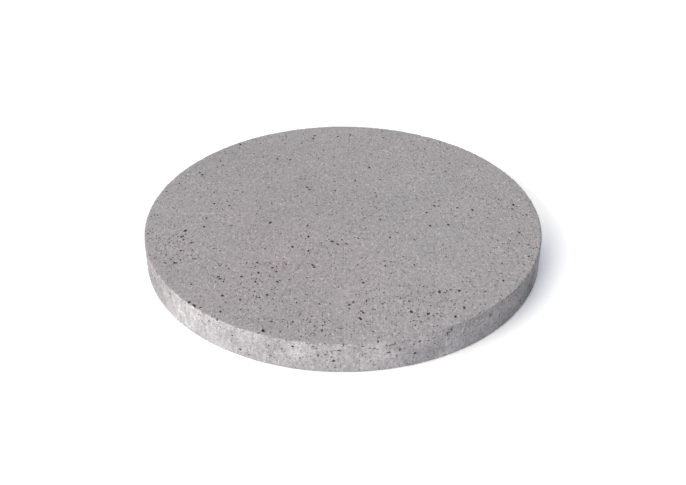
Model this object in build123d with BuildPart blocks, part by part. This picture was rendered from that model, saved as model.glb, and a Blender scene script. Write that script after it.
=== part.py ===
"""Round paving slab: one solid disc of cast concrete, as it lies flat on the ground.

The slab is cast in a round mould. Its rim leans out a little from the walking face to the
underside, because the mould needs that draft to let go of it. The mould's corner rounds the edge
of the walking face, and a bevel takes off the weak edge round the underside.

Lengths are in millimetres. +Z is up, and the origin is the centre of the underside.
"""

import os
from math import radians, tan

from build123d import *

# Driving dimensions
face_diameter = 500.0  # across the walking face, to the sharp corner that the rounding takes off
slab_thickness = 40.0
draft_angle = 0.5  # degrees that the rim leans out, from the walking face down to the underside
face_edge_radius = 1.6
base_edge_height = 1.4  # of the bevel round the underside, up the rim
base_edge_depth = 1.1  # of the same bevel, in across the underside

# Sizes that follow
face_radius = face_diameter / 2
base_radius = face_radius + slab_thickness * tan(radians(draft_angle))

with BuildPart() as slab:
    with BuildSketch(Plane.XZ) as half_section:
        with BuildLine():
            Polyline(
                (0, 0),
                (base_radius, 0),
                (face_radius, slab_thickness),
                (0, slab_thickness),
                close=True,
            )
        make_face()
    revolve(axis=Axis.Z)

    walking_face = slab.faces().filter_by(Axis.Z).sort_by(Axis.Z)[-1]
    fillet(walking_face.edges(), radius=face_edge_radius)

    underside = slab.faces().filter_by(Axis.Z).sort_by(Axis.Z)[0]
    chamfer(
        underside.edges(),
        length=base_edge_depth,
        length2=base_edge_height,
        reference=underside,
    )

slab.part.label = "slab"

os.makedirs("parts", exist_ok=True)
export_step(slab.part, "parts/slab.step")

size = slab.part.bounding_box().size
volume = slab.part.volume / 1e9
print(f"slab: {size.X:.2f} x {size.Y:.2f} x {size.Z:.2f} mm, {volume:.6f} cubic metres")
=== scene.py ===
"""The looks of a round paving slab: one disc of cast concrete with its air holes, on a white floor
in soft studio light.

Lengths are in metres, with mm for one millimetre. +Z is up, and the origin is the centre of the
underside. The viewer looks along +Y, so +X is to the right in the photograph. A direction is given by
its azimuth, in degrees from +X towards +Y, so the viewer stands at -90.
"""

from math import cos, hypot, pi, radians, sin, sqrt, tan

import bpy
import numpy as np
from mathutils import Euler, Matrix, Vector


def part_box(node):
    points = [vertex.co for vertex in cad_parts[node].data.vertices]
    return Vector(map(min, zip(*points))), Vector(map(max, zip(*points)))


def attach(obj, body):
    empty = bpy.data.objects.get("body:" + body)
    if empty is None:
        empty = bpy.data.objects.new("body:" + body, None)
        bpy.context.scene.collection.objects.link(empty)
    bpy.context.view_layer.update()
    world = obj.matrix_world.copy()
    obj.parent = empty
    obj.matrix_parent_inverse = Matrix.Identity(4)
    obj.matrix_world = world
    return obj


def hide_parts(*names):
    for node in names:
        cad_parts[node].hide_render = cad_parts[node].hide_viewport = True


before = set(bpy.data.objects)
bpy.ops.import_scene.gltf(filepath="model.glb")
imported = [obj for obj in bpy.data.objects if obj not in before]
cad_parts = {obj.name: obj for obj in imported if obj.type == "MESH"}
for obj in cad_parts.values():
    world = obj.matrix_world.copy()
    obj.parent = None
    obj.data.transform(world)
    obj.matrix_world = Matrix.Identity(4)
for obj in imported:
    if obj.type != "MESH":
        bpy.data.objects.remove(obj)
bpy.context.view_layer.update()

mm = 0.001

# Sizes of the slab, as it is cast
lowest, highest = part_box("slab")
thickness = highest.z - lowest.z
widest_radius = highest.x  # just above the bevel round the underside
draft = tan(radians(0.5))  # how far the rim leans in for each unit of height
edge_rounding = 1.6 * mm  # of the walking face's edge
bevel_height = 1.4 * mm  # of the bevel round the underside
bevel_depth = 1.1 * mm
arris_radius = widest_radius - (thickness - bevel_height) * draft

# The photograph's view
photo_width = 686
photo_height = 485
focal_pixels = 981.0
camera_distance = 1249.5 * mm  # from the middle of the walking face
camera_height_angle = 32.73  # degrees that the camera stands above that point
camera_tilt = 34.21  # degrees that it looks down


# Tools for nodes and colours


def linear(hex_colour):
    """The linear colour that Blender takes, for an sRGB hex value."""
    values = [int(hex_colour[i : i + 2], 16) / 255 for i in (1, 3, 5)]
    return (*[v / 12.92 if v <= 0.04045 else ((v + 0.055) / 1.055) ** 2.4 for v in values], 1.0)


def in_use(sockets, name):
    """The socket of that name which the node's settings leave in use, or the one at that place."""
    if isinstance(name, int):
        return sockets[name]
    return next(s for s in sockets if s.name == name and s.enabled)


def add(tree, kind, inputs=None, **settings):
    """Adds a node with its own settings.

    An input takes a value, an output socket, or a node that stands for its first output. One that is
    left out keeps Blender's own value, so a Map Range reads from 0 to 1.
    """
    node = tree.nodes.new(kind)
    for name, value in settings.items():
        setattr(node, name, value)
    for name, value in (inputs or {}).items():
        if isinstance(value, bpy.types.Node):
            value = next(s for s in value.outputs if s.enabled)
        if isinstance(value, bpy.types.NodeSocket):
            tree.links.new(value, in_use(node.inputs, name))
        else:
            in_use(node.inputs, name).default_value = value
    return node


def direction(azimuth, elevation):
    """The unit vector towards an azimuth and an elevation in degrees."""
    a, e = radians(azimuth), radians(elevation)
    return Vector((cos(a) * cos(e), sin(a) * cos(e), sin(e)))


def distance_from_axis(tree, place):
    """How far a place is from the slab's upright axis."""
    level = add(tree, "ShaderNodeVectorMath", {0: place, 1: (1, 1, 0)}, operation="MULTIPLY")
    return add(tree, "ShaderNodeVectorMath", {0: level}, operation="LENGTH")


def fading_patch(tree, place, middle, reach, strength, beyond):
    """A value that goes softly from its strength at a middle to another at its reach and beyond."""
    gap = add(tree, "ShaderNodeVectorMath", {0: place, 1: middle}, operation="DISTANCE")
    return add(tree, "ShaderNodeMapRange", {
        "Value": gap, "From Min": 0.0, "From Max": reach, "To Min": strength, "To Max": beyond,
    }, interpolation_type="SMOOTHSTEP")


# Camera


def stand_camera():
    """Stands the camera where the photograph was taken from."""
    data = bpy.data.cameras.new("camera")
    data.sensor_fit = "HORIZONTAL"
    data.sensor_width = 36.0
    data.lens = focal_pixels / photo_width * data.sensor_width
    data.clip_start = 0.01
    data.clip_end = 100.0
    camera = bpy.data.objects.new("camera", data)
    camera.location = Vector((0, 0, thickness)) + direction(-90, camera_height_angle) * camera_distance
    camera.rotation_euler = Euler((radians(90 - camera_tilt), 0, 0))
    bpy.context.scene.collection.objects.link(camera)
    bpy.context.scene.camera = camera
    bpy.context.view_layer.update()
    return camera


camera = stand_camera()


# Light

lamp_distance = 36.0  # far enough for even light all over the slab
lamp_tint = "#FFFCF7"
dome_tint = "#EFF4FF"
dome_strength = 0.44  # of the light that the studio's pale walls throw back


def softbox(name, azimuth, elevation, level, width, height):
    """A softbox that faces the slab, with its width and height as shares of its distance.

    A white card that faces it renders at about the given level.
    """
    data = bpy.data.lights.new(name, "AREA")
    data.shape = "RECTANGLE"
    data.size = width * lamp_distance
    data.size_y = height * lamp_distance
    spread = 1 + (width**2 + height**2) / 12  # a wide lamp's sides face the card less
    data.energy = level * spread * pi**2 * lamp_distance**2
    data.color = linear(lamp_tint)[:3]
    lamp = bpy.data.objects.new(name, data)
    lamp.location = direction(azimuth, elevation) * lamp_distance
    lamp.rotation_euler = direction(azimuth, elevation).to_track_quat("Z", "Y").to_euler()
    bpy.context.scene.collection.objects.link(lamp)


def studio_light():
    """A low softbox at the front left, a weaker one high behind, and a dome that itself looks white."""
    softbox("front_left_softbox", azimuth=-144, elevation=22, level=1.12, width=1.0, height=0.73)
    softbox("overhead_softbox", azimuth=117, elevation=58, level=0.24, width=0.9, height=0.9)
    world = bpy.data.worlds.new("white_studio")
    bpy.context.scene.world = world
    world.use_nodes = True
    tree = world.node_tree
    tree.nodes.clear()
    rays = add(tree, "ShaderNodeLightPath").outputs
    seen = rays["Is Camera Ray"]
    for ray in ("Is Glossy Ray", "Is Transmission Ray"):
        seen = add(tree, "ShaderNodeMath", {0: seen, 1: rays[ray]}, operation="MAXIMUM")
    dome = add(tree, "ShaderNodeBackground", {"Color": linear(dome_tint), "Strength": dome_strength})
    backdrop = add(tree, "ShaderNodeBackground", {"Color": linear("#FFFFFF"), "Strength": 1.0})
    mixed = add(tree, "ShaderNodeMixShader", {0: seen, 1: dome, 2: backdrop})
    add(tree, "ShaderNodeOutputWorld", {"Surface": mixed})


studio_light()


# Floor

floor_half_width = 6.0
paper_colour = "#F2F2F2"  # as it throws light back on the slab

# How many times over the camera sees the paper exposed, by the distance from the shadow's side of the slab.
# The extra exposure close to the slab is painted light, which thins the shadow there
shadow_side = (90 * mm, -10 * mm, 0)
close_exposure = 1.5  # thins the shadow out close to the slab
plain_exposure = 1.18
far_exposure = 2.0  # keeps the paper white all the way to the back

# Painted shadow colour: the paper is tinted cold close to the slab and warm further out, so that the shadow
# is a cold grey close by and a warm one further out
shadow_middle = (30 * mm, 40 * mm, 0)
cold_white = "#FCFDFF"
warm_white = "#FFFEFC"

# Painted light behind the slab on the right: the paper is painted brighter and warmer there, so that the
# shadow is thinner and warmer still
thin_shadow = (290 * mm, 120 * mm, 0)
thin_shadow_reach = 170 * mm
thin_shadow_white = "#FFFCF6"
thin_shadow_exposure = 1.14


def paper_exposure(tree, place):
    """How many times over the camera sees the paper exposed, but for the painted light that thins the
    shadow behind the slab.
    """
    gap = add(tree, "ShaderNodeVectorMath", {0: place, 1: shadow_side}, operation="DISTANCE")
    near = add(tree, "ShaderNodeMapRange", {
        "Value": gap, "From Min": 290 * mm, "From Max": 350 * mm,
        "To Min": close_exposure, "To Max": plain_exposure,
    }, interpolation_type="SMOOTHSTEP")
    far = add(tree, "ShaderNodeMapRange", {
        "Value": gap, "From Min": 400 * mm, "From Max": 2600 * mm,
        "To Min": plain_exposure, "To Max": far_exposure,
    })
    return add(tree, "ShaderNodeMath", {0: near, 1: far}, operation="MAXIMUM")


def paper_as_seen(tree):
    """The colour of the paper to the camera alone, with painted light and a painted tint in the slab's
    shadow.
    """
    place = add(tree, "ShaderNodeTexCoord").outputs["Object"]
    out = add(tree, "ShaderNodeVectorMath", {0: place, 1: shadow_middle}, operation="DISTANCE")
    away = add(tree, "ShaderNodeMapRange", {
        "Value": out, "From Min": 228 * mm, "From Max": 270 * mm, "To Min": 0.0, "To Max": 1.0,
    })
    tint = add(tree, "ShaderNodeMix", {"Factor": away, "A": linear(cold_white), "B": linear(warm_white)},
               data_type="RGBA")
    behind = fading_patch(tree, place, thin_shadow, thin_shadow_reach, strength=1.0, beyond=0.0)
    tint = add(tree, "ShaderNodeMix", {"Factor": behind, "A": tint, "B": linear(thin_shadow_white)},
               data_type="RGBA")
    thinner = add(tree, "ShaderNodeMapRange", {
        "Value": behind, "To Min": 1.0, "To Max": thin_shadow_exposure,
    })
    exposure = add(tree, "ShaderNodeMath", {0: paper_exposure(tree, place), 1: thinner},
                   operation="MULTIPLY")
    return add(tree, "ShaderNodeVectorMath", {0: tint, "Scale": exposure}, operation="SCALE")


def white_paper():
    """White paper: matt, and over-exposed to the camera alone, so that only the shadow shows on it.

    From below it is clear.
    """
    material = bpy.data.materials.new("white_paper_floor")
    material.use_nodes = True
    tree = material.node_tree
    tree.nodes.clear()
    rays = add(tree, "ShaderNodeLightPath").outputs
    colour = add(tree, "ShaderNodeMix", {
        "Factor": rays["Is Camera Ray"], "A": linear(paper_colour), "B": paper_as_seen(tree),
    }, data_type="RGBA")
    paper = add(tree, "ShaderNodeBsdfDiffuse", {"Color": colour})
    clear = add(tree, "ShaderNodeBsdfTransparent")
    side = add(tree, "ShaderNodeNewGeometry").outputs
    mixed = add(tree, "ShaderNodeMixShader", {0: side["Backfacing"], 1: paper, 2: clear})
    add(tree, "ShaderNodeOutputMaterial", {"Surface": mixed})
    return material


def white_floor():
    """A wide sheet of the paper, flat under the slab."""
    half = floor_half_width
    corners = [(-half, -half, 0), (half, -half, 0), (half, half, 0), (-half, half, 0)]
    mesh = bpy.data.meshes.new("white_floor")
    mesh.from_pydata(corners, [], [(0, 1, 2, 3)])
    mesh.materials.append(white_paper())
    floor = bpy.data.objects.new("white_floor", mesh)
    bpy.context.scene.collection.objects.link(floor)


white_floor()


# Air holes that show in the photograph, listed by the places of their middles in it

widest_holes = [(513, 204), (185, 230), (360, 318), (263, 330)]
wide_holes = [
    (313, 138), (240, 144), (369, 167), (434, 205), (472, 209), (270, 222), (448, 224), (430, 225),
    (439, 291), (459, 290), (464, 307), (411, 311), (428, 313), (455, 316),
]
middling_holes = [
    (350, 134), (315, 135), (383, 137), (277, 158), (290, 159), (445, 171), (380, 179), (355, 180),
    (166, 191), (214, 203), (229, 205), (457, 207), (512, 208), (426, 212), (526, 214), (380, 219),
    (307, 225), (204, 226), (519, 232), (181, 236), (308, 236), (191, 242), (292, 246), (308, 250),
    (174, 262), (257, 262), (414, 264), (385, 265), (272, 267), (276, 271), (258, 272), (241, 276),
    (503, 280), (255, 281), (277, 281), (363, 282), (222, 295), (240, 299), (353, 301), (349, 304),
    (220, 311), (363, 312),
]
holes_across = {4.8: widest_holes, 3.9: wide_holes, 3.3: middling_holes}  # by their width in mm

# Pairs of holes that nearly run together: across and down in the photograph, then length and width in
# mm, and degrees of turn from level
paired_holes = [
    (199.5, 172.1, 4.4, 3.8, -20), (202.1, 174.1, 5.4, 4.2, -20), (306.8, 186.6, 4.4, 4.2, 0),
    (309.3, 188.8, 4.8, 4.2, -40), (332.0, 240.7, 5.8, 4.4, -30), (337.3, 243.5, 5.4, 4.2, -30),
    (312.4, 264.3, 3.8, 4.2, 0), (313.8, 266.4, 3.6, 3.4, 0), (218.1, 276.0, 4.4, 3.6, 0),
    (219.8, 278.1, 4.8, 3.8, -20), (223.0, 281.0, 2.0, 3.4, 0), (188.9, 301.5, 4.8, 4.6, 0),
    (193.8, 304.5, 5.8, 4.2, -30),
]

# Holes in the rim, given in the same way
rim_holes = [
    (313.0, 346.2, 6.5, 2.0, 0), (317.7, 354.5, 5.6, 2.4, 80), (338.0, 350.2, 4.2, 3.4, 10),
    (331.0, 351.5, 2.6, 2.2, 0), (333.2, 360.3, 3.8, 3.4, 0), (292.3, 346.5, 3.8, 3.2, 0),
    (268.8, 345.6, 3.2, 2.4, 0), (201.4, 320.7, 3.0, 2.6, 0), (240.0, 349.2, 4.6, 3.2, 20),
    (270.5, 355.3, 6.8, 2.2, 5), (392.3, 344.3, 8.5, 2.7, 8), (419.7, 341.3, 4.2, 3.6, 0),
    (413.9, 343.9, 2.8, 2.6, 0), (399.7, 349.2, 4.0, 3.2, 0), (388.4, 352.2, 6.0, 2.3, 0),
    (374.3, 348.2, 3.0, 2.3, 0), (414.5, 352.8, 4.2, 3.2, 0), (409.3, 363.5, 2.4, 2.0, 0),
    (370.3, 360.5, 2.6, 2.0, 0), (451.5, 329.3, 3.8, 3.2, 0), (447.2, 332.8, 4.0, 3.4, 0),
    (460.3, 323.7, 3.2, 2.6, 0), (519.8, 300.1, 4.4, 3.6, 0), (511.5, 293.6, 3.0, 2.4, 0),
]

# How a picked hole's other sizes go with its width
hole_length = 1.3  # of a round hole, whose length runs away from the viewer
hole_depth_in_face = 0.75
hole_depth_in_rim = 0.55


def place_in_photograph(x, y):
    """The place on the slab that the photograph shows at a pixel, and the way its surface faces there."""
    across = (x + 0.5 - photo_width / 2) / focal_pixels
    up = (photo_height / 2 - y - 0.5) / focal_pixels
    ahead = camera.matrix_world.to_3x3() @ Vector((across, up, -1.0))
    start = camera.location
    on_face = start + ahead * (thickness - start.z) / ahead.z
    if hypot(on_face.x, on_face.y) < arris_radius - edge_rounding:
        return on_face, Vector((0, 0, 1))
    rim = (arris_radius + widest_radius) / 2
    a = ahead.x**2 + ahead.y**2
    b = start.x * ahead.x + start.y * ahead.y
    c = start.x**2 + start.y**2 - rim**2
    on_rim = start + ahead * (-b - sqrt(b * b - a * c)) / a
    return on_rim, Vector((on_rim.x, on_rim.y, 0)).normalized()


def marks_of_the_picked_holes():
    """A loose point for each picked hole.

    It carries the hole's three half sizes, the way the surface faces and the way the hole's length runs.
    """
    round_holes = [
        (x, y, hole_length * across, across, 90)
        for across, pixels in holes_across.items()
        for x, y in pixels
    ]
    places, sizes, facings, runs = [], [], [], []
    for x, y, long, wide, turn in round_holes + paired_holes + rim_holes:
        place, facing = place_in_photograph(x, y)
        level = Vector((1, 0, 0)) if facing.z else Vector((-facing.y, facing.x, 0))
        upward = facing.cross(level)
        depth = wide * (hole_depth_in_face if facing.z else hole_depth_in_rim)
        places.append(place)
        sizes.append((long / 2 * mm, wide / 2 * mm, depth * mm))
        facings.append(facing)
        runs.append(level * cos(radians(turn)) + upward * sin(radians(turn)))
    mesh = bpy.data.meshes.new("marks")
    mesh.from_pydata(places, [], [])
    for name, values in (("size", sizes), ("facing", facings), ("run", runs)):
        attribute = mesh.attributes.new(name, "FLOAT_VECTOR", "POINT")
        attribute.data.foreach_set("vector", np.array(values, dtype=np.float32).ravel())
    return mesh


# The cast body

# Seeds for what is left to chance. The three numbers after a seed go with it
surface_seed = 5
chip_seed = 15
fine_hole_seed = 25
wide_hole_seed = 35

# How finely the body is faced before anything is cut out of it
faces_round = 480
faces_up_the_rim = 24
faces_to_the_middle = 12

# The settled surface: how wide its waves and its arris's crumbs are, and how wide the worn band is
wave_width = 70 * mm
crumb_width = 7 * mm
worn_band = 5 * mm
whole_below = 0.42  # of the crumbs' noise
worn_away_above = 0.8
corner_gap = 0.75 * edge_rounding  # most of the rounded arris lies this close to its sharp corner

# Air holes that are left to chance: smallest and largest radius, and how close they come
fine_hole_radii = (0.8 * mm, 1.45 * mm)
wide_hole_radii = (1.0 * mm, 1.5 * mm)
hole_gap = 2.2  # times the largest radius
mostly_small = 1.8  # the power that makes most of them small and few large

# Their half width and depth as shares of the radius, in the two round faces and in the rim
hole_half_widths = (1.4, 1.0)
hole_depths = (1.5, 0.8)
least_chance = 0.15  # of such a hole, low on the rim and on the underside

# A lump that is cut out of the body: how far it is sunk, and how knobbly it is
lump_sink = 0.2  # of its own half depth
knob_width = 1.7 * mm
knob_height = 1.9  # times half the lump's width

# Half sizes of the chips in the arris: along it, across it, and in
smallest_chip = (0.7 * mm, 0.6 * mm, 0.5 * mm)
largest_chip = (2.7 * mm, 1.8 * mm, 1.2 * mm)
chip_gap = 4 * mm
chip_crowd = 120000.0  # a square metre: so many that the gap decides
chipped_band = 2.8 * mm

# Where the concrete is porous: across and away from the middle, how far it reaches, and how strongly
porous_places = {
    "front_left": (-105, -135, 60, 1.0),
    "front_right": (70, -185, 80, 1.0),
    "front": (-40, -230, 45, 0.9),
    "left_edge": (-220, -60, 60, 1.0),
    "left": (-190, 50, 70, 0.5),
    "right_edge": (215, 5, 45, 0.85),
    "right_front": (210, -75, 60, 0.7),
    "right_middle": (120, 20, 35, 0.5),
    "centre_left": (-10, -70, 60, 0.6),
    "back_left": (-50, 150, 110, 0.3),
}
least_porousness = 0.22
porous_fade = 1.6  # a porous place fades out at this many times its reach


def section_radius(tree, sizes, height):
    """How far the skin is from the axis at a height: the draft, the bevel below and the rounding above."""
    lean = add(tree, "ShaderNodeMapRange", {
        "Value": height, "From Min": sizes["Bevel Height"], "From Max": sizes["Thickness"],
        "To Min": 0.0, "To Max": sizes["Lean"],
    })
    bevel = add(tree, "ShaderNodeMapRange", {
        "Value": height, "From Min": 0.0, "From Max": sizes["Bevel Height"],
        "To Min": sizes["Bevel Depth"], "To Max": 0.0,
    })
    below = add(tree, "ShaderNodeMath", {0: sizes["Thickness"], 1: sizes["Edge Rounding"]},
                operation="SUBTRACT")
    into_edge = add(tree, "ShaderNodeMapRange", {
        "Value": height, "From Min": below, "From Max": sizes["Thickness"], "To Min": 0.0, "To Max": 1.0,
    })
    angle = add(tree, "ShaderNodeMath", {0: into_edge}, operation="ARCSINE")
    across = add(tree, "ShaderNodeMath", {0: angle}, operation="COSINE")
    rounding = add(tree, "ShaderNodeMapRange", {
        "Value": across, "To Min": sizes["Edge Rounding"], "To Max": 0.0,
    })
    radius = sizes["Widest Radius"]
    for taken_off in (lean, bevel, rounding):
        radius = add(tree, "ShaderNodeMath", {0: radius, 1: taken_off}, operation="SUBTRACT")
    return radius


def turned_body(tree, sizes):
    """A unit cylinder drawn out to the slab's section, with its faces closer together at the edges."""
    unit = add(tree, "GeometryNodeMeshCylinder", {
        "Vertices": faces_round, "Side Segments": faces_up_the_rim, "Fill Segments": faces_to_the_middle,
        "Radius": 1.0, "Depth": 1.0,
    }, fill_type="TRIANGLE_FAN")
    position = add(tree, "GeometryNodeInputPosition")
    place = add(tree, "ShaderNodeSeparateXYZ", {0: position}).outputs
    height = add(tree, "ShaderNodeMapRange", {
        "Value": place["Z"], "From Min": -0.5, "From Max": 0.5, "To Min": 0.0, "To Max": sizes["Thickness"],
    }, interpolation_type="SMOOTHSTEP")
    out = distance_from_axis(tree, position)
    crowding = add(tree, "ShaderNodeMath", {0: 2.0, 1: out}, operation="SUBTRACT")
    radius = section_radius(tree, sizes, height)
    radius = add(tree, "ShaderNodeMath", {0: radius, 1: crowding}, operation="MULTIPLY")
    turned = add(tree, "ShaderNodeCombineXYZ", {
        "X": add(tree, "ShaderNodeMath", {0: place["X"], 1: radius}, operation="MULTIPLY"),
        "Y": add(tree, "ShaderNodeMath", {0: place["Y"], 1: radius}, operation="MULTIPLY"),
        "Z": height,
    })
    return add(tree, "GeometryNodeSetPosition", {"Geometry": unit, "Position": turned})


def nearness_to_arris(tree, sizes, reach):
    """How near a place is to the arris: 1 on it, and 0 at the reach from its sharp corner."""
    position = add(tree, "GeometryNodeInputPosition")
    height = add(tree, "ShaderNodeSeparateXYZ", {0: position}).outputs["Z"]
    here = add(tree, "ShaderNodeCombineXYZ", {"X": distance_from_axis(tree, position), "Z": height})
    side = add(tree, "ShaderNodeMath", {0: sizes["Widest Radius"], 1: sizes["Lean"]}, operation="SUBTRACT")
    arris = add(tree, "ShaderNodeCombineXYZ", {"X": side, "Z": sizes["Thickness"]})
    away = add(tree, "ShaderNodeVectorMath", {0: here, 1: arris}, operation="DISTANCE")
    return add(tree, "ShaderNodeMapRange", {
        "Value": away, "From Min": corner_gap, "From Max": reach, "To Min": 1.0, "To Max": 0.0,
    })


def settled_surface(tree, body, sizes):
    """The cast surface is never quite flat, and its arris has crumbled a little. It only goes inwards."""
    position = add(tree, "GeometryNodeInputPosition")
    waves = add(tree, "ShaderNodeTexNoise", {
        "Vector": position, "W": surface_seed, "Scale": 1 / wave_width, "Detail": 2.0,
    }, noise_dimensions="4D")
    crumbs = add(tree, "ShaderNodeTexNoise", {
        "Vector": position, "W": surface_seed, "Scale": 1 / crumb_width, "Detail": 2.0,
    }, noise_dimensions="4D")
    worn = add(tree, "ShaderNodeMapRange", {
        "Value": crumbs, "From Min": whole_below, "From Max": worn_away_above,
        "To Min": 0.0, "To Max": sizes["Arris Wear"],
    })
    near = nearness_to_arris(tree, sizes, worn_band)
    worn = add(tree, "ShaderNodeMath", {0: worn, 1: near}, operation="MULTIPLY")
    inwards = add(tree, "ShaderNodeMath", {0: waves, 1: sizes["Waviness"], 2: worn},
                  operation="MULTIPLY_ADD")
    outwards = add(tree, "ShaderNodeMath", {0: inwards, 1: -1.0}, operation="MULTIPLY")
    normal = add(tree, "GeometryNodeInputNormal")
    offset = add(tree, "ShaderNodeVectorMath", {0: normal, "Scale": outwards}, operation="SCALE")
    return add(tree, "GeometryNodeSetPosition", {"Geometry": body, "Offset": offset})


def pressed_in(tree, points, facing, run, size, facets, chosen=True):
    """Knobbly lumps to cut out of the body, one at each point and each a little under the surface."""
    lump = add(tree, "GeometryNodeMeshIcoSphere", {"Radius": 1.0, "Subdivisions": facets})
    lump = add(tree, "GeometryNodeTransform", {"Geometry": lump, "Translation": (0, 0, -lump_sink)})
    turn = add(tree, "FunctionNodeAlignRotationToVector", {"Vector": facing}, axis="Z")
    turn = add(tree, "FunctionNodeAlignRotationToVector", {"Rotation": turn, "Vector": run},
               axis="X", pivot_axis="Z")
    lumps = add(tree, "GeometryNodeInstanceOnPoints", {
        "Points": points, "Selection": chosen, "Instance": lump, "Rotation": turn, "Scale": size,
    })
    half_width = add(tree, "ShaderNodeSeparateXYZ", {0: size}).outputs["Y"]
    knobs = add(tree, "ShaderNodeMath", {0: half_width, 1: knob_height}, operation="MULTIPLY")
    marked = add(tree, "GeometryNodeStoreNamedAttribute", {
        "Geometry": lumps, "Name": "knobs", "Value": knobs,
    }, data_type="FLOAT", domain="INSTANCE")
    lumps = add(tree, "GeometryNodeRealizeInstances", {"Geometry": marked})
    own = add(tree, "GeometryNodeInputNamedAttribute", {"Name": "knobs"}, data_type="FLOAT")
    rough = add(tree, "ShaderNodeTexNoise", {"Scale": 1 / knob_width, "Detail": 0.0}).outputs["Color"]
    push = add(tree, "ShaderNodeVectorMath", {0: rough, 1: (0.5, 0.5, 0.5)}, operation="SUBTRACT")
    push = add(tree, "ShaderNodeVectorMath", {0: push, "Scale": own}, operation="SCALE")
    lumps = add(tree, "GeometryNodeSetPosition", {"Geometry": lumps, "Offset": push})
    return add(tree, "GeometryNodeStoreNamedAttribute", {"Geometry": lumps, "Name": "broken", "Value": 1.0},
               data_type="FLOAT", domain="FACE")


def scattered_holes(tree, body, crowd, radii, facets, seed):
    """Lumps for the holes that are left to chance: most of them small, and those in the rim level slits."""
    smallest, largest = radii
    points = add(tree, "GeometryNodeDistributePointsOnFaces", {
        "Mesh": body, "Distance Min": hole_gap * largest, "Density Max": crowd, "Density Factor": 1.0,
        "Seed": seed,
    }, distribute_method="POISSON")
    facing = points.outputs["Normal"]
    run = add(tree, "ShaderNodeVectorMath", {0: (0, 0, 1), 1: facing}, operation="CROSS_PRODUCT")
    on_rim = add(tree, "ShaderNodeVectorMath", {0: run}, operation="LENGTH")
    half_width, depth = [
        add(tree, "ShaderNodeMapRange", {
            "Value": on_rim, "To Min": in_face, "To Max": in_rim,
        })
        for in_face, in_rim in (hole_half_widths, hole_depths)
    ]
    luck, longer, drawn = [
        add(tree, "FunctionNodeRandomValue", {"Min": 0.0, "Max": 1.0, "Seed": later}, data_type="FLOAT")
        for later in (seed + 1, seed + 2, seed + 3)
    ]
    luck = add(tree, "ShaderNodeMath", {0: luck, 1: mostly_small}, operation="POWER")
    radius = add(tree, "ShaderNodeMapRange", {
        "Value": luck, "To Min": smallest, "To Max": largest,
    })
    longer = add(tree, "ShaderNodeMath", {0: longer, 1: on_rim}, operation="MULTIPLY")
    size = add(tree, "ShaderNodeCombineXYZ", {
        "X": add(tree, "ShaderNodeMath", {0: radius, 1: longer, 2: radius}, operation="MULTIPLY_ADD"),
        "Y": add(tree, "ShaderNodeMath", {0: radius, 1: half_width}, operation="MULTIPLY"),
        "Z": add(tree, "ShaderNodeMath", {0: radius, 1: depth}, operation="MULTIPLY"),
    })
    chosen = add(tree, "FunctionNodeCompare", {"A": drawn, "B": chance_of_a_hole(tree)},
                 data_type="FLOAT", operation="LESS_THAN")
    return pressed_in(tree, points, facing, run, size, facets, chosen)


def porousness(tree, place):
    """How open the concrete is at a place, from 0 to 1. The tree of shapes and the material both use it."""
    flat = add(tree, "ShaderNodeVectorMath", {0: place, 1: (1, 1, 0)}, operation="MULTIPLY")
    open_here = least_porousness
    for across, away, reach, strength in porous_places.values():
        middle = (across * mm, away * mm, 0)
        area = fading_patch(tree, flat, middle, porous_fade * reach * mm, strength, 0.0)
        open_here = add(tree, "ShaderNodeMath", {0: open_here, 1: area}, operation="MAXIMUM")
    return open_here


def chance_of_a_hole(tree):
    """On the two round faces the porous places decide, and on the rim the holes gather under the arris."""
    position = add(tree, "GeometryNodeInputPosition")
    height = add(tree, "ShaderNodeSeparateXYZ", {0: position}).outputs["Z"]
    on_rim = add(tree, "ShaderNodeMath", {
        0: distance_from_axis(tree, position), 1: arris_radius - edge_rounding,
    }, operation="GREATER_THAN")
    rim_chance = add(tree, "ShaderNodeMapRange", {
        "Value": height, "From Min": 0.3 * thickness, "From Max": 0.95 * thickness,
        "To Min": least_chance, "To Max": 1.0,
    })
    struck = add(tree, "ShaderNodeMapRange", {
        "Value": height, "From Min": 0.0, "From Max": 0.1 * thickness,
        "To Min": least_chance, "To Max": 1.0,
    })
    flat_chance = add(tree, "ShaderNodeMath", {0: porousness(tree, position), 1: struck},
                      operation="MULTIPLY")
    return add(tree, "ShaderNodeMix", {"Factor": on_rim, "A": flat_chance, "B": rim_chance},
               data_type="FLOAT")


def chips(tree, body, sizes):
    """Flat lumps along the arris, where grains have broken out of it."""
    near = nearness_to_arris(tree, sizes, chipped_band)
    points = add(tree, "GeometryNodeDistributePointsOnFaces", {
        "Mesh": body, "Distance Min": chip_gap, "Density Max": chip_crowd, "Density Factor": near,
        "Seed": chip_seed,
    }, distribute_method="POISSON")
    facing = points.outputs["Normal"]
    run = add(tree, "ShaderNodeVectorMath", {0: (0, 0, 1), 1: facing}, operation="CROSS_PRODUCT")
    size = add(tree, "FunctionNodeRandomValue", {
        "Min": smallest_chip, "Max": largest_chip, "Seed": chip_seed + 1,
    }, data_type="FLOAT_VECTOR")
    return pressed_in(tree, points, facing, run, size, facets=2)


def cut(tree, body, lumps):
    """The body with the lumps cut out of it."""
    cutter = add(tree, "GeometryNodeMeshBoolean", {"Mesh 1": body},
                 operation="DIFFERENCE", solver="MANIFOLD")
    tree.links.new(lumps.outputs["Geometry"], cutter.inputs["Mesh 2"])
    return cutter


def store_depth(tree, body, name, surface):
    """Stores at each point how far it lies under a surface."""
    depth = add(tree, "GeometryNodeProximity", {"Geometry": surface}, target_element="FACES")
    return add(tree, "GeometryNodeStoreNamedAttribute", {
        "Geometry": body, "Name": name, "Value": depth.outputs["Distance"],
    }, data_type="FLOAT", domain="POINT")


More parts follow.
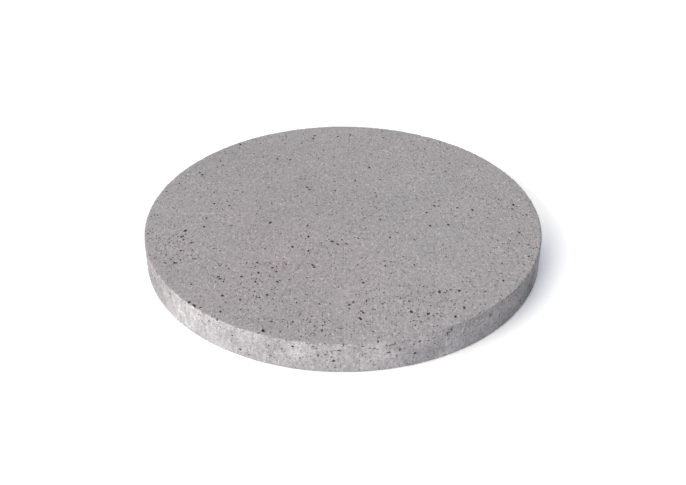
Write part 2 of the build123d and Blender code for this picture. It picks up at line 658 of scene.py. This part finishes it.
def crisp_breaks(tree, body):
    """Shades the skin and the holes softly, and keeps the line between them crisp."""
    shaded = add(tree, "GeometryNodeSetShadeSmooth", {"Geometry": body, "Shade Smooth": True},
                 domain="FACE")
    broken = add(tree, "GeometryNodeInputNamedAttribute", {"Name": "broken"}, data_type="FLOAT")
    rim_of_hole = add(tree, "FunctionNodeCompare", {"A": broken, "B": 0.5, "Epsilon": 0.4},
                      data_type="FLOAT", operation="EQUAL")
    return add(tree, "GeometryNodeSetShadeSmooth", {
        "Geometry": shaded, "Selection": rim_of_hole, "Shade Smooth": False,
    }, domain="EDGE")


# Material

# Soft clouds in the cement paste: their size in mm, and how far they lighten and darken it
cloud_sizes = {90: 0.14, 26: 0.16}

# How matt the skin is, its relief to the touch, and what the underside's drag marks add to relief and shade
concrete_roughness = 0.9
relief_size = 1.6 * mm
relief_depth = 0.12 * mm
strike_relief = 6.0
strike_shade = 0.5

# Colours of the paste on the walking face, from greyest to pinkest, and of the rim
greyest_paste = "#A09F9E"
pinkest_paste = "#A69EA0"
rim_paste = "#A4A3A7"

# Where the paste is pinker or greyer: across and away from the middle, reach in mm, and how much
paste_tints = {
    "left_pink": (-80, -90, 200, 0.42),
    "right_grey": (110, -20, 140, -0.2),
}

# Darker and lighter patches on the walking face: across and away from the middle, reach in mm, and how dark
# or light
face_patches = {
    "middle_darker": (0, 70, 80, 0.93),
    "back_left_darker": (-150, 150, 190, 0.95),
    "front_lighter": (50, -200, 170, 1.045),
}

# Lighter and darker patches on the rim: azimuth in degrees, height and reach in mm, and how dark or light.
# Those named painted are painted light where the rim faces the front left softbox and painted shade on its
# shaded right, and the two named shade are painted shade. The rest are stains, bloom, pits, splashes and
# plain lighter or darker patches
rim_patches = {
    "far_left_damp": (-156, 26, 60, 0.72),
    "left_shade": (-146, 36, 26, 0.92),
    "left_foot_painted_light": (-140, 5, 44, 1.12),
    "left_arris_painted_highlight": (-133, 36, 24, 1.10),
    "left_bloom_and_painted_light": (-126, 22, 100, 1.07),
    "front_left_splash": (-111, 7, 28, 0.82),
    "front_lighter": (-103, 27, 44, 1.20),
    "front_foot_lighter": (-76, 6, 24, 1.12),
    "front_right_pits": (-61, 36, 18, 0.84),
    "right_foot_lighter": (-57, 4, 20, 1.08),
    "front_right_darker": (-55, 26, 26, 0.90),
    "right_foot_darker": (-43, 5, 22, 0.86),
    "right_shade": (-37, 20, 62, 0.91),
    "right_painted_shade": (-27, 14, 40, 0.56),
}


def cast_concrete():
    """Wet-cast concrete of grey cement and fine river sand, left as it came out of its steel mould.

    Its skin is cement paste, so it is matt, evenly grey and a little warm. The sand just under the paste
    makes a fine salt and pepper, and the water and the mould's oil leave soft clouds.
    """
    material = bpy.data.materials.new("cast_concrete")
    material.use_nodes = True
    tree = material.node_tree
    bsdf = tree.nodes["Principled BSDF"]
    bsdf.inputs["IOR"].default_value = 1.5
    bsdf.inputs["Metallic"].default_value = 0.0
    bsdf.inputs["Roughness"].default_value = concrete_roughness
    place = add(tree, "ShaderNodeTexCoord").outputs["Object"]
    rim = rim_share(tree, place)
    struck = strike_marks(tree, place)

    colour = add(tree, "ShaderNodeVectorMath", {
        0: paste_colour(tree, place, rim), "Scale": concrete_shade(tree, place, rim, struck),
    }, operation="SCALE")
    tree.links.new(colour.outputs["Vector"], bsdf.inputs["Base Color"])

    relief = add(tree, "ShaderNodeTexNoise", {"Vector": place, "Scale": 1 / relief_size, "Detail": 2.0})
    relief = add(tree, "ShaderNodeMath", {0: struck, 1: strike_relief, 2: relief.outputs["Fac"]},
                 operation="MULTIPLY_ADD")
    bump = add(tree, "ShaderNodeBump", {"Height": relief, "Distance": relief_depth, "Strength": 1.0})
    tree.links.new(bump.outputs["Normal"], bsdf.inputs["Normal"])
    return material


def concrete_shade(tree, place, rim, struck):
    """How light or dark the paste is at a place, once all that darkens and lightens it comes together."""
    grain_place = drawn_out(tree, place, stretch=(1.14, 0.68, 1.0))
    shade = add(tree, "ShaderNodeMath", {0: clouds(tree, place), 1: fines(tree, grain_place)},
                operation="MULTIPLY")
    shade = add(tree, "ShaderNodeMath", {0: struck, 1: strike_shade, 2: shade}, operation="MULTIPLY_ADD")
    for layer in (
        face_shade(tree, place),
        sand_grains(tree, grain_place, rim),
        pour_marks(tree, place, rim),
        pinholes(tree, place),
        rim_shade(tree, place, rim),
        inside_the_holes(tree, rim),
    ):
        shade = add(tree, "ShaderNodeMath", {0: shade, 1: layer}, operation="MULTIPLY")
    return shade


def paste_colour(tree, place, rim):
    """Grey to pink on the walking face, and a purer grey on the rim, most of all at its splashed foot."""
    colour = add(tree, "ShaderNodeMix", {
        "Factor": pinkness(tree, place), "A": linear(greyest_paste), "B": linear(pinkest_paste),
    }, data_type="RGBA")
    height = add(tree, "ShaderNodeSeparateXYZ", {0: place}).outputs["Z"]
    grey = add(tree, "ShaderNodeMapRange", {
        "Value": height, "From Min": 2 * mm, "From Max": 12 * mm, "To Min": 0.75, "To Max": 0.3,
    })
    grey = add(tree, "ShaderNodeMath", {0: rim, 1: grey}, operation="MULTIPLY")
    return add(tree, "ShaderNodeMix", {"Factor": grey, "A": colour, "B": linear(rim_paste)},
               data_type="RGBA")


def pinkness(tree, place):
    """How far the paste goes from grey to pink. Iron in the sand does it."""
    tint = patchy(tree, place, 50 * mm, detail=3.0, low=0.22, high=0.74)
    for across, away, reach, strength in paste_tints.values():
        area = fading_patch(tree, place, (across * mm, away * mm, thickness), reach * mm, strength, 0.0)
        tint = add(tree, "ShaderNodeMath", {0: tint, 1: area}, operation="ADD", use_clamp=True)
    return tint


def rim_share(tree, place):
    """1 on the rim and 0 on the two round faces."""
    return add(tree, "ShaderNodeMapRange", {
        "Value": distance_from_axis(tree, place),
        "From Min": arris_radius - 1.5 * mm, "From Max": arris_radius, "To Min": 0.0, "To Max": 1.0,
    })


def patchy(tree, place, size, detail, low, high, roughness=0.5):
    """A noise with patches of a given size. Most of its values are spread between the two given ones."""
    noise = add(tree, "ShaderNodeTexNoise", {
        "Vector": place, "Scale": 1 / size, "Detail": detail, "Roughness": roughness, "Lacunarity": 2.0,
    })
    return add(tree, "ShaderNodeMapRange", {
        "Value": noise.outputs["Fac"], "From Min": 0.3, "From Max": 0.7, "To Min": low, "To Max": high,
    })


def drawn_out(tree, place, stretch):
    """Places that make grains and pits ragged, and longer along an axis whose stretch is under 1."""
    stretched = add(tree, "ShaderNodeVectorMath", {0: place, 1: stretch}, operation="MULTIPLY")
    ragged = add(tree, "ShaderNodeTexNoise", {"Vector": place, "Scale": 1 / (0.9 * mm), "Detail": 1.0})
    ragged = add(tree, "ShaderNodeVectorMath", {0: ragged.outputs["Color"], 1: (0.5, 0.5, 0.5)},
                 operation="SUBTRACT")
    push = (1.2 * mm, 1.2 * mm, 1.2 * mm)
    return add(tree, "ShaderNodeVectorMath", {0: ragged, 1: push, 2: stretched}, operation="MULTIPLY_ADD")


def scattered_spots(tree, place, spacing):
    """Spots about that far apart: the distance to the nearest in spacings, and two numbers of its own."""
    cells = add(tree, "ShaderNodeTexVoronoi", {
        "Vector": place, "Scale": 1 / spacing, "Randomness": 1.0,
    }, feature="F1")
    own = add(tree, "ShaderNodeSeparateColor", {"Color": cells.outputs["Color"]}).outputs
    return cells.outputs["Distance"], own["Red"], own["Green"]


def pitted(tree, distance, own, share, reach, steepness, darkest):
    """How pits darken a place: painted shade in pits that are not cut. A share of the spots has one, which
    fades out at its reach in spacings.
    """
    here = add(tree, "ShaderNodeMath", {0: own, 1: share}, operation="LESS_THAN")
    dark = add(tree, "ShaderNodeMapRange", {
        "Value": distance, "From Min": 0.0, "From Max": reach, "To Min": steepness, "To Max": 0.0,
    })
    dark = add(tree, "ShaderNodeMath", {0: dark, 1: here}, operation="MULTIPLY")
    return add(tree, "ShaderNodeMapRange", {"Value": dark, "To Min": 1.0, "To Max": darkest})


def clouds(tree, place):
    """Soft clouds in the cement paste, from its water and the mould's oil."""
    shade = 1.0
    for across, strength in cloud_sizes.items():
        cloud = add(tree, "ShaderNodeTexNoise", {
            "Vector": place, "Scale": 1 / (across * mm), "Detail": 1.0,
        })
        cloud = add(tree, "ShaderNodeMath", {0: cloud.outputs["Fac"], 1: 0.5}, operation="SUBTRACT")
        shade = add(tree, "ShaderNodeMath", {0: cloud, 1: strength, 2: shade}, operation="MULTIPLY_ADD")
    return shade


def fines(tree, grain_place):
    """Cement and fine sand, never quite mixed: a crisp mottle from 4 mm down to a fraction of one."""
    return patchy(tree, grain_place, 4 * mm, detail=4.0, low=0.62, high=1.38, roughness=0.95)


def sand_grains(tree, grain_place, rim):
    """Grains of sand just under the paste, some lighter and some darker than it.

    River sand is mostly under 1 mm. That would not show, so the grains are drawn 1 to 2 mm across.
    """
    distance, tone, width = scattered_spots(tree, grain_place, spacing=2.0 * mm)
    lightest = add(tree, "ShaderNodeMapRange", {"Value": rim, "To Min": 1.68, "To Max": 1.42})
    shade = add(tree, "ShaderNodeMapRange", {"Value": tone, "To Min": 0.52, "To Max": lightest})
    reach = add(tree, "ShaderNodeMapRange", {"Value": width, "To Min": 0.3, "To Max": 0.65})
    shows = add(tree, "ShaderNodeMapRange", {
        "Value": distance, "From Min": 0.2, "From Max": reach, "To Min": 1.0, "To Max": 0.0,
    })
    return add(tree, "ShaderNodeMix", {"Factor": shows, "A": 1.0, "B": shade}, data_type="FLOAT")


def pinholes(tree, place):
    """Air holes too shallow to cut, 1 to 2 mm across, and more of them where the concrete is porous. Their
    darkness is painted shade.
    """
    drawn = drawn_out(tree, place, stretch=(1.0, 0.55, 1.0))
    distance, own, width = scattered_spots(tree, drawn, spacing=2.9 * mm)
    share = add(tree, "ShaderNodeMapRange", {
        "Value": porousness(tree, place), "To Min": 0.2, "To Max": 0.6,
    })
    reach = add(tree, "ShaderNodeMapRange", {"Value": width, "To Min": 0.19, "To Max": 0.4})
    return pitted(tree, distance, own, share, reach, steepness=3.0, darkest=0.43)


def pour_marks(tree, place, rim):
    """Upright pits in the rim, where the paste ran down the mould: most of them high up and at the front.

    Real ones are often finer. They are drawn 1.5 mm across and 4 mm tall, so that they show. Their darkness
    is painted shade.
    """
    drawn = drawn_out(tree, place, stretch=(1.0, 1.0, 0.35))
    distance, own, _ = scattered_spots(tree, drawn, spacing=2.2 * mm)
    height = add(tree, "ShaderNodeSeparateXYZ", {0: place}).outputs["Z"]
    share = add(tree, "ShaderNodeMapRange", {
        "Value": height, "From Min": 8 * mm, "From Max": thickness, "To Min": 0.1, "To Max": 0.6,
    })
    front = direction(-85, 0) * widest_radius
    front = add(tree, "ShaderNodeVectorMath", {0: place, 1: front}, operation="DISTANCE")
    front = add(tree, "ShaderNodeMapRange", {
        "Value": front, "From Min": 70 * mm, "From Max": 180 * mm, "To Min": 1.0, "To Max": 0.2,
    })
    share = add(tree, "ShaderNodeMath", {0: share, 1: front}, operation="MULTIPLY")
    share = add(tree, "ShaderNodeMath", {0: share, 1: rim}, operation="MULTIPLY")
    return pitted(tree, distance, own, share, reach=0.35, steepness=1.5, darkest=0.62)


def strike_marks(tree, place):
    """Faint, straight drag marks on the underside, which was the open top of the mould.

    A board struck it off level. The marks are 0 everywhere else.
    """
    dragged = add(tree, "ShaderNodeVectorMath", {0: place, 1: (1.0, 0.06, 1.0)}, operation="MULTIPLY")
    marks = add(tree, "ShaderNodeTexNoise", {"Vector": dragged, "Scale": 1 / (6 * mm), "Detail": 3.0})
    marks = add(tree, "ShaderNodeMath", {0: marks.outputs["Fac"], 1: 0.5}, operation="SUBTRACT")
    height = add(tree, "ShaderNodeSeparateXYZ", {0: place}).outputs["Z"]
    under = add(tree, "ShaderNodeMapRange", {
        "Value": height, "From Min": 0.5 * mm, "From Max": 1.5 * mm, "To Min": 1.0, "To Max": 0.0,
    })
    return add(tree, "ShaderNodeMath", {0: marks, 1: under}, operation="MULTIPLY")


def soft_patches(tree, place, patches):
    """How soft patches darken and lighten a place: stains, and on the rim painted light and shade too. Each
    has its middle, reach and strength.
    """
    shade = 1.0
    for middle, reach, strength in patches:
        patch = fading_patch(tree, place, middle, reach * mm, strength, 1.0)
        shade = add(tree, "ShaderNodeMath", {0: shade, 1: patch}, operation="MULTIPLY")
    return shade


def face_shade(tree, place):
    """Wide and faint changes in the walking face's grey: darker in the middle and at the back left, lighter
    at the front.
    """
    return soft_patches(tree, place, [
        ((across * mm, away * mm, thickness), reach, strength)
        for across, away, reach, strength in face_patches.values()
    ])


def rim_shade(tree, place, rim):
    """The rim's paste ran down the mould: soft streaks that stand upright. Over them lie stains, patches of
    painted light and shade, a painted highlight under the arris, and a darker foot, which is painted
    contact shade with some dirt.
    """
    upright = add(tree, "ShaderNodeVectorMath", {0: place, 1: (1.0, 1.0, 0.35)}, operation="MULTIPLY")
    height = add(tree, "ShaderNodeSeparateXYZ", {0: place}).outputs["Z"]
    # darker towards the foot: painted contact shade where the slab stands on the floor, and some dirt
    foot_shade_and_dirt = add(tree, "ShaderNodeMapRange", {
        "Value": height, "From Min": 1 * mm, "From Max": 5 * mm, "To Min": 0.95, "To Max": 1.0,
    })
    rim_patch_places = [
        (direction(azimuth, 0) * widest_radius + Vector((0, 0, up * mm)), reach, strength)
        for azimuth, up, reach, strength in rim_patches.values()
    ]
    shade = patchy(tree, upright, 4 * mm, detail=2.0, low=0.92, high=1.19)
    for layer in (
        patchy(tree, place, 32 * mm, detail=3.0, low=0.85, high=1.21),
        foot_shade_and_dirt,
        painted_arris_light_line(tree, place, height),
        soft_patches(tree, place, rim_patch_places),
    ):
        shade = add(tree, "ShaderNodeMath", {0: shade, 1: layer}, operation="MULTIPLY")
    return add(tree, "ShaderNodeMix", {"Factor": rim, "A": 1.0, "B": shade}, data_type="FLOAT")


def painted_arris_light_line(tree, place, height):
    """A broken line just under the arris: a painted highlight at the front left, towards the front left
    softbox, and a little painted shade elsewhere.
    """
    arris_light = patchy(tree, place, 6 * mm, detail=2.0, low=0.0, high=1.0)
    palest = direction(-125, 0) * widest_radius + Vector((0, 0, thickness))
    side = add(tree, "ShaderNodeVectorMath", {0: place, 1: palest}, operation="DISTANCE")
    side = add(tree, "ShaderNodeMapRange", {
        "Value": side, "From Min": 50 * mm, "From Max": 200 * mm, "To Min": 0.3, "To Max": -0.12,
    })
    arris_light = add(tree, "ShaderNodeMath", {0: arris_light, 1: side}, operation="MULTIPLY")
    under_arris = add(tree, "ShaderNodeMapRange", {
        "Value": height, "From Min": thickness - 3.5 * mm, "From Max": thickness - 1.5 * mm,
        "To Min": 0.0, "To Max": 1.0,
    })
    return add(tree, "ShaderNodeMath", {0: arris_light, 1: under_arris, 2: 1.0}, operation="MULTIPLY_ADD")


def inside_the_holes(tree, rim):
    """The walls of a hole darken with their depth, and less so in the rim: painted shade in the hollow, and
    dust.

    A fresh chip is a little paler than the skin.
    """
    depth = add(tree, "ShaderNodeAttribute", attribute_name="hole_depth").outputs["Fac"]
    darkest_hole_wall = add(tree, "ShaderNodeMapRange", {
        "Value": rim, "To Min": 0.44, "To Max": 0.56,
    })
    hole_shade_and_dust = add(tree, "ShaderNodeMapRange", {
        "Value": depth, "From Min": 0.0, "From Max": 0.9 * mm, "To Min": 1.0, "To Max": darkest_hole_wall,
    })
    chipped = add(tree, "ShaderNodeAttribute", attribute_name="chip_depth").outputs["Fac"]
    fresh = add(tree, "ShaderNodeMapRange", {
        "Value": chipped, "From Min": 0.0, "From Max": 0.2 * mm, "To Min": 1.0, "To Max": 1.15,
    })
    return add(tree, "ShaderNodeMath", {0: hole_shade_and_dust, 1: fresh}, operation="MULTIPLY")


concrete = cast_concrete()


# The slab

slab_sizes = {
    "Widest Radius": widest_radius,
    "Thickness": thickness,
    "Lean": widest_radius - arris_radius,
    "Edge Rounding": edge_rounding,
    "Bevel Height": bevel_height,
    "Bevel Depth": bevel_depth,
    "Waviness": 0.3 * mm,
    "Arris Wear": 0.65 * mm,
    "Fine Holes a Square Metre": 7500.0,
    "Wide Holes a Square Metre": 1400.0,
}


def casting_tree():
    """The tree that casts the slab: turns it, settles it, chips its arris and cuts its air holes."""
    tree = bpy.data.node_groups.new("cast_slab", "GeometryNodeTree")
    tree.interface.new_socket("Geometry", in_out="INPUT", socket_type="NodeSocketGeometry")
    for name in slab_sizes:
        tree.interface.new_socket(name, in_out="INPUT", socket_type="NodeSocketFloat")
    tree.interface.new_socket("Geometry", in_out="OUTPUT", socket_type="NodeSocketGeometry")
    sizes = add(tree, "NodeGroupInput").outputs

    whole = settled_surface(tree, turned_body(tree, sizes), sizes)
    worn = cut(tree, whole, chips(tree, whole, sizes))
    worn = store_depth(tree, worn, "chip_depth", whole)

    size, facing, run = [
        add(tree, "GeometryNodeInputNamedAttribute", {"Name": name}, data_type="FLOAT_VECTOR")
        for name in ("size", "facing", "run")
    ]
    picked = pressed_in(tree, sizes["Geometry"], facing, run, size, facets=2)
    crowd = sizes["Fine Holes a Square Metre"]
    fine = scattered_holes(tree, whole, crowd, fine_hole_radii, facets=1, seed=fine_hole_seed)
    crowd = sizes["Wide Holes a Square Metre"]
    wide = scattered_holes(tree, whole, crowd, wide_hole_radii, facets=2, seed=wide_hole_seed)
    holed = worn
    for lumps in (picked, fine, wide):
        holed = cut(tree, holed, lumps)
    holed = store_depth(tree, holed, "hole_depth", worn)

    realized = add(tree, "GeometryNodeRealizeInstances", {"Geometry": crisp_breaks(tree, holed)})
    finished = add(tree, "GeometryNodeSetMaterial", {"Geometry": realized, "Material": concrete})
    add(tree, "NodeGroupOutput", {"Geometry": finished})
    return tree


def cast_slab():
    """The slab as a plain mesh, cast round the marks of the picked holes."""
    slab = bpy.data.objects.new("concrete_slab", marks_of_the_picked_holes())
    bpy.context.scene.collection.objects.link(slab)
    modifier = slab.modifiers.new("cast", "NODES")
    modifier.node_group = casting_tree()
    for socket in modifier.node_group.interface.items_tree:
        if socket.name in slab_sizes:
            modifier[socket.identifier] = slab_sizes[socket.name]
    graph = bpy.context.evaluated_depsgraph_get()
    mesh = bpy.data.meshes.new_from_object(slab.evaluated_get(graph))
    slab.modifiers.remove(modifier)
    slab.data = mesh
    for name in ("size", "facing", "run", "knobs", "broken", "id"):
        mesh.attributes.remove(mesh.attributes[name])
    return slab


# A map of the skin, for a picture baked from the material. Each round face has its middle and its half
# width on the map, and the rim lies in two strips along the foot of it, one over the other
face_middle = (0.363, 0.637)
face_half = 0.36
base_middle = (0.812, 0.308)
base_half = 0.185
strip_start = 0.005
strip_length = 0.99
strip_height = 0.055
strip_step = 0.06


def read(items, name, kind, width=1):
    """One property of all the vertices, corners or faces of a mesh."""
    values = np.empty(len(items) * width, dtype=kind)
    items.foreach_get(name, values)
    return values.reshape(-1, width) if width > 1 else values


def lay_out_flat(mesh):
    """Lays the skin out flat: each face goes to the side of the slab that it is nearest to."""
    places = read(mesh.vertices, "co", np.float32, 3)
    face_of_corner = np.repeat(np.arange(len(mesh.polygons)), read(mesh.polygons, "loop_total", np.int32))
    middle = read(mesh.polygons, "center", np.float32, 3)[face_of_corner]
    x, y, z = places[read(mesh.loops, "vertex_index", np.int32)].T
    gaps = (
        thickness - middle[:, 2],
        middle[:, 2],
        widest_radius - np.hypot(middle[:, 0], middle[:, 1]),
    )
    nearest = np.argmin(gaps, axis=0)
    middle_turn = np.arctan2(middle[:, 1], middle[:, 0])
    turn = middle_turn + (np.arctan2(y, x) - middle_turn + pi) % (2 * pi) - pi  # no face wraps round
    second = middle_turn >= 0
    share = (turn + pi * ~second) / pi
    on_top = (
        face_middle[0] + face_half * x / widest_radius,
        face_middle[1] + face_half * y / widest_radius,
    )
    on_base = (
        base_middle[0] - base_half * x / widest_radius,
        base_middle[1] + base_half * y / widest_radius,
    )
    on_rim = (strip_start + strip_length * share, strip_step * second + strip_height * z / thickness)
    spots = [np.choose(nearest, choice) for choice in zip(on_top, on_base, on_rim)]
    layer = mesh.uv_layers.new(name="OFBake", do_init=False)
    layer.uv.foreach_set("vector", np.stack(spots, axis=1).astype(np.float32).ravel())


slab = cast_slab()
lay_out_flat(slab.data)
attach(slab, "root")
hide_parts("slab")

bpy.context.scene.view_settings.view_transform = "Standard"
